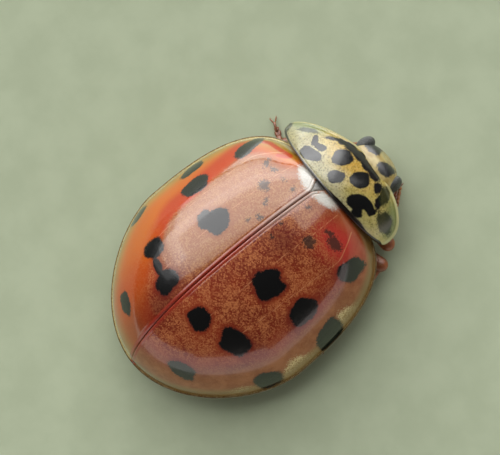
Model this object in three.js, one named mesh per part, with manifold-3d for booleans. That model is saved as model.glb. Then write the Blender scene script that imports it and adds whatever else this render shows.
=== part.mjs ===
// Cream-streaked ladybird (Harmonia quadripunctata, the form with sixteen spots), life size.
// Millimetres, +Z up. The head faces -Y, the insect's left side is +X, x = 0 is the seam of the
// wing cases, and the six tarsi stand on z = 0.
//
// The body is a low dome. Two wing cases make its shell, the pronotum shields the fore body, the
// head is tucked under the pronotum's front edge, and the legs are drawn in under the rim.

import * as THREE from "three";
import { mergeVertices } from "three/addons/utils/BufferGeometryUtils.js";
import Module from "manifold-3d";

const wasm = await Module();
wasm.setup();

// ---------------------------------------------------------------- driving dimensions

const SEAM = 0.04; // clear gap between neighbouring pieces
const RIM_Z = 0.56; // height of the wing cases' rim over the ground
const CROWN = 1.74; // height of the dome over its rim
const SHELL = 0.5; // wall of a wing case

// The dome: its outline is widest at `widest`, its ridge is highest at `crest`. The powers are
// those of the curves that its outline and its ridge follow, as pairs for `lobe` below.
const DOME = {
  rear: 3.12,
  widest: 0.82,
  front: -1.97,
  halfWidth: 2.25,
  crown: CROWN,
  crest: 0.73,
  ridgeFront: -2.68,
  rearPowers: [1.6, 1.93],
  frontPowers: [2.6, 3.8],
  ridgePowers: [2.1, 1.9],
  archPower: 0.62,
};

// The pronotum: a shield broader than long, fuller at its right front corner than at its left.
const SHIELD = {
  centreX: 0.03,
  centreY: -2.09,
  halfWidth: 1.49,
  rearReach: 0.265,
  frontReach: 0.76,
  rearZ: 1.8,
  frontZ: 1.18,
  sideZ: 0.8,
  thickness: 0.36,
  rearPower: 3,
  frontPowerLeft: 1.5,
  frontPowerRight: 2.35,
  slopePower: 1.7,
};
const FORE_BREAST_SHARE = 0.55; // its breadth as a share of the shield's

// The head: a broad capsule, lower than the pronotum and turned slightly to the right.
const HEAD = {
  centre: new THREE.Vector3(-0.235, -2.7, 0.82),
  radii: new THREE.Vector3(0.56, 0.42, 0.38),
  turn: THREE.MathUtils.degToRad(-4),
  fullness: 0.88,
};
const EYE_RADII = new THREE.Vector3(0.18, 0.22, 0.21);
const EYE_OFFSET = new THREE.Vector3(0.485, -0.18, 0.03);
const MOUTH_RADII = new THREE.Vector3(0.4, 0.17, 0.17);
const MOUTH_OFFSET = new THREE.Vector3(0, -0.2, -0.3);

const LEG_RADIUS = 0.23; // half the usual thickness of a leg
const FEMUR_RADII = [0.24, 0.22]; // at the hip and at the knee
const TIBIA_RADII = [0.2, 0.24]; // at the knee and at the ankle
const TARSUS_RADII = [0.22, 0.2]; // at the ankle and at the claws
const LEG_Z = 0.28; // height of the middle of a femur or tibia
const TARSUS_Z = 0.17; // height of the middle of a tarsus, whose sole is cut flat

// Ends of an antenna's shaft and club: distance out from the head's middle, then y and z.
const FEELER_RADIUS = 0.22;
const FEELER_SHAFT = [[0.36, -2.93, 0.63], [0.72, -2.74, 0.66]];
const FEELER_CLUB = [[0.66, -2.82, 0.66], [0.92, -2.28, 0.68]];

// The small triangle between the bases of the wing cases.
const SCUTELLUM = { halfWidth: 0.2, front: -1.95, tip: -1.62, depth: 0.35 };

// The wing cases begin at BASE_FRONT. The hind breast reaches from BREAST_FRONT to BREAST_REAR,
// where the abdomen begins, and the belly bulges down by BELLY.
const BASE_FRONT = -1.95;
const BREAST_FRONT = -1.77;
const BREAST_REAR = -0.25;
const BELLY = 0.08;

// Hip, knee, ankle and toe of each leg, seen from above. The right fore and middle knees show
// past the body's edge, and so does the left fore tarsus; the other legs lie under the dome.
const LEGS = {
  fore_left: [[0.3, -2.05], [1.0, -2.42], [1.47, -1.68], [1.96, -1.88]],
  fore_right: [[-0.4, -2.1], [-1.38, -2.02], [-0.9, -2.5], [-0.68, -2.92]],
  middle_left: [[0.4, -1.25], [1.48, -1.2], [1.72, -0.3], [1.93, 0.4]],
  middle_right: [[-0.4, -1.22], [-1.62, -1.68], [-1.86, -0.5], [-2.08, 0.28]],
  hind_left: [[0.36, -0.5], [1.34, 0.5], [1.18, 1.45], [1.48, 2.1]],
  hind_right: [[-0.36, -0.5], [-1.38, 0.5], [-1.2, 1.45], [-1.5, 2.1]],
};

// ---------------------------------------------------------------- finishes

const finish = (color, roughness) => new THREE.MeshStandardMaterial({ color, roughness, metalness: 0 });

const FINISH = {
  case_left: finish("#d8561c", 0.25),
  case_right: finish("#9c3420", 0.25),
  shield: finish("#c9a24a", 0.3),
  head: finish("#cdb67a", 0.35),
  eye: finish("#2a2b2c", 0.3),
  underside: finish("#5a3320", 0.5),
  limb: finish("#8f5224", 0.45),
  mouth: finish("#6f4420", 0.45),
  scutellum: finish("#6d665c", 0.45),
};

// ---------------------------------------------------------------- solids

// One closed solid from a closed three.js geometry.
function solidOf(geometry) {
  const plain = geometry.clone();
  plain.deleteAttribute("normal");
  plain.deleteAttribute("uv");
  const merged = mergeVertices(plain, 1e-5);
  return new wasm.Manifold(
    new wasm.Mesh({
      numProp: 3,
      vertProperties: new Float32Array(merged.attributes.position.array),
      triVerts: new Uint32Array(merged.index.array),
    })
  );
}

// A named mesh from a finished solid.
function meshOf(name, solid, material) {
  const { vertProperties, triVerts } = solid.getMesh();
  const geometry = new THREE.BufferGeometry();
  geometry.setAttribute("position", new THREE.BufferAttribute(new Float32Array(vertProperties), 3));
  geometry.setIndex(new THREE.BufferAttribute(new Uint32Array(triVerts), 1));
  geometry.computeVertexNormals();
  const mesh = new THREE.Mesh(geometry, material);
  mesh.name = name;
  return mesh;
}

// Move every vertex of a geometry by a rule of its own.
function warp(geometry, rule) {
  const place = geometry.attributes.position;
  const point = new THREE.Vector3();
  for (let i = 0; i < place.count; i += 1) {
    point.fromBufferAttribute(place, i);
    rule(point);
    place.setXYZ(i, point.x, point.y, point.z);
  }
  return geometry;
}

// A box from its lowest to its highest corner.
function block(low, high) {
  const size = new THREE.Vector3().subVectors(high, low);
  const middle = new THREE.Vector3().addVectors(low, high).multiplyScalar(0.5);
  return solidOf(new THREE.BoxGeometry(size.x, size.y, size.z).translate(middle.x, middle.y, middle.z));
}

// An ellipsoid of given centre and radii, fuller than round where `fullness` is under 1.
function egg(centre, radii, fullness = 1, across = 20, down = 14) {
  const swell = (value) => Math.sign(value) * Math.pow(Math.abs(value), fullness);
  const ball = new THREE.SphereGeometry(1, across, down);
  return warp(ball, (p) => {
    p.set(swell(p.x) * radii.x, swell(p.y) * radii.y, swell(p.z) * radii.z).add(centre);
  });
}

// ---------------------------------------------------------------- the dome

// Falls from 1 at ratio 0 to 0 at ratio 1, as a superellipse does.
const lobe = (ratio, power, root) => Math.pow(Math.max(0, 1 - Math.pow(ratio, power)), 1 / root);

function outlineOf(dome, y) {
  if (y > dome.widest) {
    return dome.halfWidth * lobe((y - dome.widest) / (dome.rear - dome.widest), ...dome.rearPowers);
  }
  return dome.halfWidth * lobe((dome.widest - y) / (dome.widest - dome.front), ...dome.frontPowers);
}

function ridgeOf(dome, y) {
  const reach = y > dome.crest ? dome.rear - dome.crest : dome.crest - dome.ridgeFront;
  return dome.crown * lobe(Math.abs(y - dome.crest) / reach, ...dome.ridgePowers);
}

// The dome's geometry: each ring of a sphere becomes a cross-section that rises from `baseZ`.
// Its underside is flat at `floorZ` and bulges down by `belly` along the middle.
function domeForm(dome, { baseZ = RIM_Z, floorZ = RIM_Z, belly = 0, around = 36, along = 22 }) {
  const ball = new THREE.SphereGeometry(1, around, along);
  return warp(ball, (p) => {
    const ring = Math.sqrt(Math.max(0, 1 - p.y * p.y));
    const across = ring > 1e-6 ? p.x / ring : 0;
    const y = dome.widest + p.y * (p.y > 0 ? dome.rear - dome.widest : dome.widest - dome.front);
    const arch = Math.pow(Math.max(0, 1 - across * across), dome.archPower);
    const above = ring > 1e-6 && p.z > 0;
    p.set(
      across * outlineOf(dome, y),
      y,
      above ? baseZ + ridgeOf(dome, y) * arch : floorZ - belly * arch * Math.min(1, ring * 3)
    );
  });
}

// The same dome, smaller all round by `inset`.
const innerDome = (inset) => ({
  ...DOME,
  rear: DOME.rear - inset,
  front: DOME.front + inset * 0.3,
  halfWidth: DOME.halfWidth - inset,
  crown: DOME.crown - inset,
});

// ---------------------------------------------------------------- the pronotum

// Reach of the shield's outline from its centre, in a direction given as an angle from +X.
function shieldReach(angle, grow = 0) {
  const rear = Math.sin(angle) > 0;
  const frontPower = Math.cos(angle) > 0 ? SHIELD.frontPowerLeft : SHIELD.frontPowerRight;
  const power = rear ? SHIELD.rearPower : frontPower;
  const across = Math.pow(Math.abs(Math.cos(angle)) / (SHIELD.halfWidth + grow), power);
  const reach = (rear ? SHIELD.rearReach : SHIELD.frontReach) + grow;
  const along = Math.pow(Math.abs(Math.sin(angle)) / reach, power);
  return Math.pow(across + along, -1 / power);
}

// Height of the shield's upper face.
function shieldTop(x, y) {
  const forward = (SHIELD.centreY + SHIELD.rearReach - y) / (SHIELD.rearReach + SHIELD.frontReach);
  const fall = Math.pow(Math.max(0, forward), SHIELD.slopePower);
  const middle = SHIELD.rearZ - (SHIELD.rearZ - SHIELD.frontZ) * fall;
  const side = (x - SHIELD.centreX) / (SHIELD.halfWidth * 1.02);
  return SHIELD.sideZ + (middle - SHIELD.sideZ) * Math.max(0, 1 - side * side);
}

function shieldSolid() {
  const ball = new THREE.SphereGeometry(1, 32, 12).rotateX(Math.PI / 2);
  return warp(ball, (p) => {
    const out = Math.min(1, Math.hypot(p.x, p.y));
    const angle = Math.atan2(p.y, p.x);
    const reach = out * shieldReach(angle);
    const x = SHIELD.centreX + reach * Math.cos(angle);
    const y = SHIELD.centreY + reach * Math.sin(angle);
    const half = 0.5 * SHIELD.thickness * Math.sqrt(Math.max(0, 1 - Math.pow(out, 5)));
    p.set(x, y, shieldTop(x, y) - 0.5 * SHIELD.thickness + Math.sign(p.z) * half);
  });
}

// The shield's outline as a tall prism, grown by `grow`.
function shieldPrism(grow) {
  const corners = [];
  for (let i = 0; i < 48; i += 1) {
    const angle = (i / 48) * 2 * Math.PI;
    const reach = shieldReach(angle, grow);
    const x = SHIELD.centreX + reach * Math.cos(angle);
    corners.push(new THREE.Vector2(x, SHIELD.centreY + reach * Math.sin(angle)));
  }
  return solidOf(new THREE.ExtrudeGeometry(new THREE.Shape(corners), { depth: 4, bevelEnabled: false }));
}

// The fore breast fills the shield from below.
function foreBreastSolid() {
  const ball = new THREE.SphereGeometry(1, 24, 8).rotateX(Math.PI / 2);
  return warp(ball, (p) => {
    const out = Math.min(1, Math.hypot(p.x, p.y));
    const angle = Math.atan2(p.y, p.x);
    const reach = out * shieldReach(angle) * FORE_BREAST_SHARE;
    const x = SHIELD.centreX + reach * Math.cos(angle);
    const y = SHIELD.centreY + reach * Math.sin(angle);
    const roof = shieldTop(x, y) - SHIELD.thickness - SEAM;
    const mid = 0.5 * (roof + RIM_Z);
    const half = (roof - mid) * Math.pow(Math.max(0, 1 - Math.pow(out, 4)), 0.4);
    p.set(x, y, mid + Math.sign(p.z) * half);
  });
}

// ---------------------------------------------------------------- the head

const turnHead = (geometry) =>
  geometry
    .translate(-HEAD.centre.x, -HEAD.centre.y, 0)
    .rotateZ(HEAD.turn)
    .translate(HEAD.centre.x, HEAD.centre.y, 0);

function headSolid(grow = 0) {
  const radii = HEAD.radii.clone().addScalar(grow);
  return solidOf(turnHead(egg(HEAD.centre, radii, HEAD.fullness, 22, 14)));
}

function eyeSolid(side, grow = 0) {
  const offset = EYE_OFFSET.clone();
  offset.x *= side;
  const centre = offset.add(HEAD.centre);
  return solidOf(turnHead(egg(centre, EYE_RADII.clone().addScalar(grow), 1, 12, 8)));
}

// Labrum, mandibles and palps are one block under the front of the head.
function mouthSolid() {
  const centre = MOUTH_OFFSET.clone().add(HEAD.centre);
  return solidOf(turnHead(egg(centre, MOUTH_RADII, 0.8, 16, 8)));
}

// An antenna leaves the head below the eye and lies back under the shield's edge. Its shaft
// bends at the elbow into the club.
function antennaSolid(side, grow = 0) {
  const at = ([out, y, z]) => new THREE.Vector3(HEAD.centre.x + side * out, y, z);
  const shaft = segment(...FEELER_SHAFT.map(at), [FEELER_RADIUS * 0.9, FEELER_RADIUS], grow);
  const club = segment(...FEELER_CLUB.map(at), [FEELER_RADIUS, FEELER_RADIUS * 1.1], grow);
  return shaft.add(club);
}

// ---------------------------------------------------------------- legs

// A straight segment with rounded ends, from radius `thick[0]` to `thick[1]`, swollen by `grow`.
function segment(start, end, thick, grow = 0) {
  const along = new THREE.Vector3().subVectors(end, start);
  const length = along.length() + 2 * grow;
  const rings = 6;
  const profile = [];
  for (let i = 0; i <= rings; i += 1) {
    const turn = (Math.PI * i) / rings;
    const swell = i === 0 || i === rings ? 0 : Math.pow(Math.sin(turn), 0.55);
    const radius = THREE.MathUtils.lerp(thick[0], thick[1], i / rings) + grow;
    profile.push(new THREE.Vector2(swell * radius, -0.5 * length * Math.cos(turn)));
  }
  const middle = new THREE.Vector3().addVectors(start, end).multiplyScalar(0.5);
  const turnTo = new THREE.Quaternion().setFromUnitVectors(new THREE.Vector3(0, 1, 0), along.normalize());
  const body = new THREE.LatheGeometry(profile, 9);
  return solidOf(body.applyQuaternion(turnTo).translate(middle.x, middle.y, middle.z));
}

function femurSolid([hipPlace, kneePlace], grow = 0) {
  const hip = new THREE.Vector3(...hipPlace, LEG_Z);
  const knee = new THREE.Vector3(...kneePlace, LEG_Z);
  const kneeCap = knee.clone().sub(hip).setLength(LEG_RADIUS * 0.8).add(knee);
  return segment(hip, kneeCap, FEMUR_RADII, grow);
}

// Femur, tibia and tarsus of one leg, each trimmed clear of the one before.
function legMeshes(name, joints) {
  const above = block(new THREE.Vector3(-9, -9, 0), new THREE.Vector3(9, 9, 9));
  const [knee, ankle] = joints.slice(1, 3).map(([x, y]) => new THREE.Vector3(x, y, LEG_Z));
  const [sole, toe] = joints.slice(2).map(([x, y]) => new THREE.Vector3(x, y, TARSUS_Z));
  const femurForm = (grow) => femurSolid(joints, grow);
  const tibiaForm = (grow) => segment(knee, ankle, TIBIA_RADII, grow);
  const tibia = tibiaForm(0).subtract(femurForm(SEAM));
  const tarsus = segment(sole, toe, TARSUS_RADII).subtract(tibiaForm(SEAM)).subtract(femurForm(SEAM));
  return [
    meshOf(`femur_${name}`, femurForm(0), FINISH.limb),
    meshOf(`tibia_${name}`, tibia, FINISH.limb),
    meshOf(`tarsus_${name}`, tarsus.intersect(above), FINISH.limb),
  ];
}

// ---------------------------------------------------------------- assembly

const ladybird = new THREE.Group();

function scutellumPrism(grow) {
  const front = SCUTELLUM.front - grow;
  const corners = [
    new THREE.Vector2(-SCUTELLUM.halfWidth - grow, front),
    new THREE.Vector2(SCUTELLUM.halfWidth + grow, front),
    new THREE.Vector2(0, SCUTELLUM.tip + 2 * grow),
  ];
  return solidOf(new THREE.ExtrudeGeometry(new THREE.Shape(corners), { depth: 4, bevelEnabled: false }));
}

// Wing cases and the scutellum between their bases.
const outer = solidOf(domeForm(DOME, {}));
const hollowed = (depth) => solidOf(domeForm(innerDome(depth), { floorZ: 0, around: 28, along: 18 }));
const shell = outer.subtract(hollowed(SHELL)).subtract(shieldPrism(SEAM)).subtract(scutellumPrism(SEAM));
const rearOfBase = (x0, x1) => block(new THREE.Vector3(x0, BASE_FRONT, 0), new THREE.Vector3(x1, 9, 9));
ladybird.add(meshOf("elytron_left", shell.intersect(rearOfBase(SEAM / 2, 9)), FINISH.case_left));
ladybird.add(meshOf("elytron_right", shell.intersect(rearOfBase(-9, -SEAM / 2)), FINISH.case_right));

const scutellum = outer
  .intersect(scutellumPrism(0))
  .subtract(hollowed(SCUTELLUM.depth))
  .subtract(shieldPrism(SEAM));
ladybird.add(meshOf("scutellum", scutellum, FINISH.scutellum));

// Hind breast and abdomen fill the shell with a seam all round.
const core = innerDome(SHELL + SEAM);
core.crown -= BELLY;
const level = RIM_Z + BELLY;
const filling = solidOf(
  domeForm(core, { baseZ: level, floorZ: level, belly: BELLY, around: 28, along: 18 })
);
const slab = (y0, y1) => block(new THREE.Vector3(-9, y0, 0), new THREE.Vector3(9, y1, 9));
const breast = filling.intersect(slab(BREAST_FRONT, BREAST_REAR - SEAM));
ladybird.add(meshOf("hind_breast", breast, FINISH.underside));
ladybird.add(meshOf("abdomen", filling.intersect(slab(BREAST_REAR, 9)), FINISH.underside));

// Fore body and head.
const shield = solidOf(shieldSolid()).subtract(headSolid(SEAM));
ladybird.add(meshOf("pronotum", shield, FINISH.shield));
const foreBreast = solidOf(foreBreastSolid())
  .subtract(headSolid(SEAM))
  .subtract(antennaSolid(1, SEAM))
  .subtract(antennaSolid(-1, SEAM));
ladybird.add(meshOf("fore_breast", foreBreast, FINISH.underside));

const head = headSolid().subtract(eyeSolid(1, SEAM)).subtract(eyeSolid(-1, SEAM));
ladybird.add(meshOf("head", head, FINISH.head));
ladybird.add(meshOf("mouthparts", mouthSolid().subtract(headSolid(SEAM)), FINISH.mouth));

for (const [word, side] of [["left", 1], ["right", -1]]) {
  ladybird.add(meshOf(`eye_${word}`, eyeSolid(side), FINISH.eye));
  const antenna = antennaSolid(side)
    .subtract(headSolid(SEAM))
    .subtract(eyeSolid(side, SEAM))
    .subtract(shield)
    .subtract(shield.translate([0, 0, -SEAM]))
    .subtract(femurSolid(LEGS[`fore_${word}`], SEAM));
  ladybird.add(meshOf(`antenna_${word}`, antenna, FINISH.limb));
}

for (const [name, joints] of Object.entries(LEGS)) {
  ladybird.add(...legMeshes(name, joints));
}

export default ladybird;
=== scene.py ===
"""A cream-streaked ladybird at rest, life size, with its shell, shield, head, legs and finishes.

The insect's lengths are in millimetres, turned to metres where a mesh is made, and the room's are
in metres. The head faces -Y, the insect's left side is +X, the seam of the wing cases is x = 0 and
the feet stand on z = 0.
"""

import math

import bmesh
import bpy
import numpy as np
from mathutils import Matrix, Vector


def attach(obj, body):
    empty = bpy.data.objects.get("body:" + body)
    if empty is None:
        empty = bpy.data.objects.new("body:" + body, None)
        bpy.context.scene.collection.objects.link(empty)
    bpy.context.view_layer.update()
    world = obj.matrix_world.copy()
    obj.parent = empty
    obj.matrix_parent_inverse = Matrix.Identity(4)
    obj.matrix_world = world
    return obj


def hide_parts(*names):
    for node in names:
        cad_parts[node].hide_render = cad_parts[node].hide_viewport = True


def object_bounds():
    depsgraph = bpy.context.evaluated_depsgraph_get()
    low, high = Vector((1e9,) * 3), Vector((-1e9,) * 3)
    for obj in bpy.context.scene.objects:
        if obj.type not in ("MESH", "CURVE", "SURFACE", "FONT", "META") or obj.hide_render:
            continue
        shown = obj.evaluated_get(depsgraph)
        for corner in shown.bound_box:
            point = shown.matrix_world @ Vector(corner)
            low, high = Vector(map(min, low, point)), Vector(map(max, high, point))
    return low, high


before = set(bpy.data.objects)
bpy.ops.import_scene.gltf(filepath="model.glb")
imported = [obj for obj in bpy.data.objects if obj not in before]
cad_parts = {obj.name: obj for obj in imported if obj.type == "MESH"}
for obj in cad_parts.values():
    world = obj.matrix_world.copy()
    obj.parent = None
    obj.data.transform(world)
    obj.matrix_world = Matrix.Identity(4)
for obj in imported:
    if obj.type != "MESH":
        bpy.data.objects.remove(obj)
cad_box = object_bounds()
scene = bpy.context.scene

MM = 0.001

# ------------------------------------------------------------------ sizes of the insect

RIM_Z = 0.56  # height of the wing cases' edge over the ground
WIDEST = 0.82  # where along the body the outline is widest
REAR = 3.12  # the tail end of the wing cases
FRONT = -1.97  # where their outline would close in front
HALF_WIDTH = 2.25
CROWN = 1.74  # height of the dome over its rim
CREST = 0.73  # where along the body the dome is highest
RIDGE_FRONT = -2.68  # where the dome's ridge would come down in front
BASE_Y = -1.93  # the wing cases begin here, hidden under the shield's hind edge
FLANGE = 0.05  # width of the flat margin outside the dome
GUTTER_Z = 0.06  # height of the gutter between the dome and its margin, over the edge

SHIELD_X = 0.035  # the shield's middle, seen from above
SHIELD_Y = -2.09
SHIELD_HALF = 1.495  # half its breadth
SHIELD_REAR = 0.265  # how far it reaches back from its middle
SHIELD_FORE = 0.76  # and forward
SHIELD_RIM_Z = 0.8
SHIELD_RISE = 1.0  # of its hind edge over its rim, on the middle line
SHIELD_THICKNESS = 0.26

HEAD_AT = np.array([-0.235, -2.7, 0.82])
HEAD_RADII = np.array([0.56, 0.42, 0.38])
HEAD_TURN = Matrix.Rotation(math.radians(-4), 4, "Z")
EYE_RADII = np.array([0.14, 0.205, 0.19])
EYE_PLACE = np.array([0.472, -0.19, 0.02])  # from the middle of the head, for the left eye
RIGHT_EYE_SHIFT = Vector((0.03, 0.03, -0.01))
EYE_LENS = 0.0085  # radius of one lens of the eye

SCUTELLUM_HALF = 0.2
SCUTELLUM_TIP = -1.64
SCUTELLUM_FRONT = -1.95

JOINT_HEIGHTS = (0.4, 0.36, 0.13, 0.05)  # of a leg's hip, knee, ankle and toe
CLAW_REACH = 0.12
BELLY_Z = 0.6  # where the underside is widest

HAIR_POINTS = 13  # points of one hair's mesh
HAIR_THICKNESS = 0.004
HAIR_CLEARANCE = 0.085  # no hair grows nearer to the ground than this

# Real granules and pits are taken to be about half as wide, which would be too fine to show.
WING_GRANULE = 0.024
SHIELD_GRANULE = 0.022
HEAD_PIT = 0.028

WAX_IOR = 1.6
FLESH_DEPTH = 0.12  # how far light spreads under thin chitin
WELD = 2e-5  # corners nearer than this are one
FAR_OFF = 9.0  # distance given to a point that no mark is near
HIDDEN = 3.0  # added to a distance on a face that must stay unmarked


# ------------------------------------------------------------------ colours and nodes


def hue(code):
    """The linear colour of an sRGB hex code."""
    parts = [int(code[i : i + 2], 16) / 255 for i in (1, 3, 5)]
    return [*(p / 12.92 if p < 0.04045 else ((p + 0.055) / 1.055) ** 2.4 for p in parts), 1.0]


def node(tree, kind, feeds=(), out=0, **settings):
    """Adds a node with its settings, feeds its sockets, and gives one of its outputs.

    A feed is a socket, a value, a colour as "#rrggbb", or the name of a mark on the mesh.
    """
    made = tree.nodes.new(kind)
    for key, value in settings.items():
        setattr(made, key, value)
    for key, value in dict(feeds).items():
        if isinstance(value, str) and value.startswith("#"):
            value = hue(value)
        elif isinstance(value, str):
            value = node(tree, "ShaderNodeAttribute", out="Fac", attribute_name=value)
        if isinstance(value, bpy.types.NodeSocket):
            tree.links.new(value, made.inputs[key])
        else:
            made.inputs[key].default_value = value
    return made.outputs[out]


def finish(name, roughness, coat=0.0, coat_roughness=0.1, gloss=0.5, flesh=0.0):
    """A material: gives it, its tree and shader, and the body's own coordinates for patterns."""
    material = bpy.data.materials.new(name)
    material.use_nodes = True
    tree = material.node_tree
    shader = tree.nodes["Principled BSDF"]
    shader.inputs["Roughness"].default_value = roughness
    shader.inputs["Specular IOR Level"].default_value = gloss
    shader.inputs["Coat Weight"].default_value = coat
    shader.inputs["Coat Roughness"].default_value = coat_roughness
    shader.inputs["Coat IOR"].default_value = WAX_IOR
    if flesh:
        shader.inputs["Subsurface Weight"].default_value = flesh
        shader.inputs["Subsurface Radius"].default_value = (1.0, 0.45, 0.2)
        shader.inputs["Subsurface Scale"].default_value = FLESH_DEPTH * MM
    return material, tree, shader, node(tree, "ShaderNodeTexCoord", out="Object")


def fade(tree, *ramps):
    """A mask that follows one or more ramps, multiplied together.

    A ramp is what it follows, the range over which it changes, and its values at both ends of
    that range, which are 0 and 1 where none are given.
    """
    mask = 1.0
    for follows, low, high, *ends in ramps:
        start, end = ends or (0.0, 1.0)
        feeds = {"Value": follows, "From Min": low, "From Max": high, "To Min": start, "To Max": end}
        ramp = node(tree, "ShaderNodeMapRange", feeds, interpolation_type="SMOOTHSTEP")
        mask = node(tree, "ShaderNodeMath", {0: mask, 1: ramp}, operation="MULTIPLY")
    return mask


def lay(tree, colour, *coats):
    """Lays coats of colour over one another, the first of them lowest.

    A coat is its tone and its mask. The mask may be followed by one number, the coat's strength,
    or by a ramp's range and ends, along which the coat comes in as the mask's value changes.
    """
    for tone, mask, *how in coats:
        if len(how) == 1:
            mask = node(tree, "ShaderNodeMath", {0: mask, 1: how[0]}, operation="MULTIPLY")
        elif how:
            mask = fade(tree, (mask, *how))
        colour = node(tree, "ShaderNodeMix", {0: mask, 6: colour, 7: tone}, 2, data_type="RGBA")
    return colour


def scaled(body, size, **feeds):
    """The feeds of a pattern in the body, with features about `size` millimetres across."""
    return {"Vector": body, "Scale": 1 / (size * MM), **feeds}


def mottled(tree, body, dark, pale, size, detail=3.0, rough=0.5, low=0.35, high=0.65):
    """Two tones in soft patches about `size` millimetres across."""
    feeds = scaled(body, size, Detail=detail, Roughness=rough)
    return lay(tree, dark, (pale, node(tree, "ShaderNodeTexNoise", feeds, "Fac"), low, high))


def granules(tree, body, size):
    """Granules: distance from the middle of each, and a random number from 0 to 1 for each."""
    grain = node(tree, "ShaderNodeTexVoronoi", scaled(body, size), "Distance")
    return grain, node(tree, "ShaderNodeSeparateColor", {0: grain.node.outputs["Color"]}, "Red")


def gritty(tree, body, height, size, share=1.0):
    """A height from 0 to 1 with fine grit added, `size` millimetres across and `share` high."""
    grit = node(tree, "ShaderNodeTexNoise", scaled(body, size, Detail=2.0, Roughness=0.5), "Fac")
    return node(tree, "ShaderNodeMath", {0: grit, 1: share, 2: height}, operation="MULTIPLY_ADD")


def frayed(tree, body, luck, share, size, rough):
    """How ragged edges are at each point: partly by whole granules, the rest in soft patches."""
    feeds = scaled(body, size, Detail=3.0, Roughness=rough)
    patches = node(tree, "ShaderNodeTexNoise", feeds, "Fac")
    soft = node(tree, "ShaderNodeMath", {0: patches, 1: 1 - share}, operation="MULTIPLY")
    return node(tree, "ShaderNodeMath", {0: luck, 1: share, 2: soft}, operation="MULTIPLY_ADD")


def inside(tree, marks, ragged, amount, soft):
    """1 inside marks with ragged edges: their distance is in millimetres, under 0 inside."""
    shift = node(tree, "ShaderNodeMath", {0: ragged, 1: 0.5}, operation="SUBTRACT")
    pushed = node(tree, "ShaderNodeMath", {0: shift, 1: amount, 2: marks}, operation="MULTIPLY_ADD")
    return fade(tree, (pushed, -soft, soft, 1.0, 0.0))


def dress(tree, shader, colour, height, depth):
    """Gives a shader its colour, and a relief `depth` millimetres deep under its clear coat too."""
    tree.links.new(colour, shader.inputs["Base Color"])
    bump = node(tree, "ShaderNodeBump", {"Height": height, "Distance": depth * MM, "Strength": 1.0})
    tree.links.new(bump, shader.inputs["Normal"])
    if shader.inputs["Coat Weight"].default_value > 0:
        tree.links.new(bump, shader.inputs["Coat Normal"])


# ------------------------------------------------------------------ meshes


def lobe(ratio, power, root):
    """Falls from 1 at ratio 0 to 0 at ratio 1, as a superellipse does."""
    ratio = np.clip(ratio, 0, 1)
    return np.power(np.clip(1 - np.power(ratio, power), 0, 1), 1 / root)


def bell(distance, width):
    """1 where the distance is 0, falling away smoothly over about that width."""
    return np.exp(-np.square(distance / width))


def ease(value, low, high):
    """0 under `low`, 1 over `high`, smooth between."""
    t = np.clip((value - low) / (high - low), 0, 1)
    return t * t * (3 - 2 * t)


def sheet(grid, caps=True, **marks):
    """A grid of points as one part: each row is a closed ring, and the end rings may be capped."""
    rows, cols = grid.shape[:2]
    near = np.arange(rows * cols).reshape(rows, cols)
    far = np.roll(near, -1, axis=1)
    quads = np.stack([near[:-1], far[:-1], far[1:], near[1:]], axis=-1).reshape(-1, 4).tolist()
    if caps:
        quads += [near[0].tolist(), near[-1].tolist()]
    flat = {key: np.asarray(value).reshape(-1) for key, value in marks.items()}
    return grid.reshape(-1, 3), quads, flat


def set_up(name, mesh, nodes):
    """Puts a finished mesh on the insect's body, in place of the solids that are named."""
    made = bpy.data.objects.new(name, mesh)
    scene.collection.objects.link(made)
    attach(made, "root")
    if nodes:
        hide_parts(*nodes)
    return made


def piece(name, parts, material, nodes):
    """Joins parts into one closed mesh with their marks, and sets it up."""
    names = sorted({key for part in parts for key in part[2]})
    points, faces = [], []
    marks = {key: [] for key in names}
    start = 0
    for spots, quads, values in parts:
        points.append(spots)
        faces += [[corner + start for corner in quad] for quad in quads]
        for key in names:
            marks[key].append(values.get(key, np.full(len(spots), FAR_OFF)))
        start += len(spots)
    mesh = bpy.data.meshes.new(name)
    mesh.from_pydata((np.concatenate(points) * MM).tolist(), [], faces)
    for key in names:
        layer = mesh.attributes.new(key, "FLOAT", "POINT")
        layer.data.foreach_set("value", np.concatenate(marks[key]).astype(np.float32))
    form = bmesh.new()
    form.from_mesh(mesh)
    bmesh.ops.remove_doubles(form, verts=form.verts, dist=WELD * MM)
    bmesh.ops.dissolve_degenerate(form, edges=form.edges, dist=WELD * MM)
    bmesh.ops.recalc_face_normals(form, faces=form.faces)
    form.to_mesh(mesh)
    form.free()
    mesh.polygons.foreach_set("use_smooth", [True] * len(mesh.polygons))
    mesh.materials.append(material)
    return set_up(name, mesh, nodes)


def ball_grid(rows, cols):
    """Unit directions on a sphere with its poles on Z."""
    angles = np.linspace(0, np.pi, rows), np.arange(cols) / cols * 2 * np.pi
    down, turn = np.meshgrid(*angles, indexing="ij")
    return np.stack([np.sin(down) * np.cos(turn), np.sin(down) * np.sin(turn), np.cos(down)], axis=-1)


def egg(centre, radii, rows, cols, fullness=1.0):
    """A rounded body: fuller than an ellipsoid where `fullness` is under 1."""
    ways = ball_grid(rows, cols)
    full = np.sign(ways) * np.power(np.abs(ways), fullness)
    return sheet(full * np.asarray(radii) + np.asarray(centre), caps=False)


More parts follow.
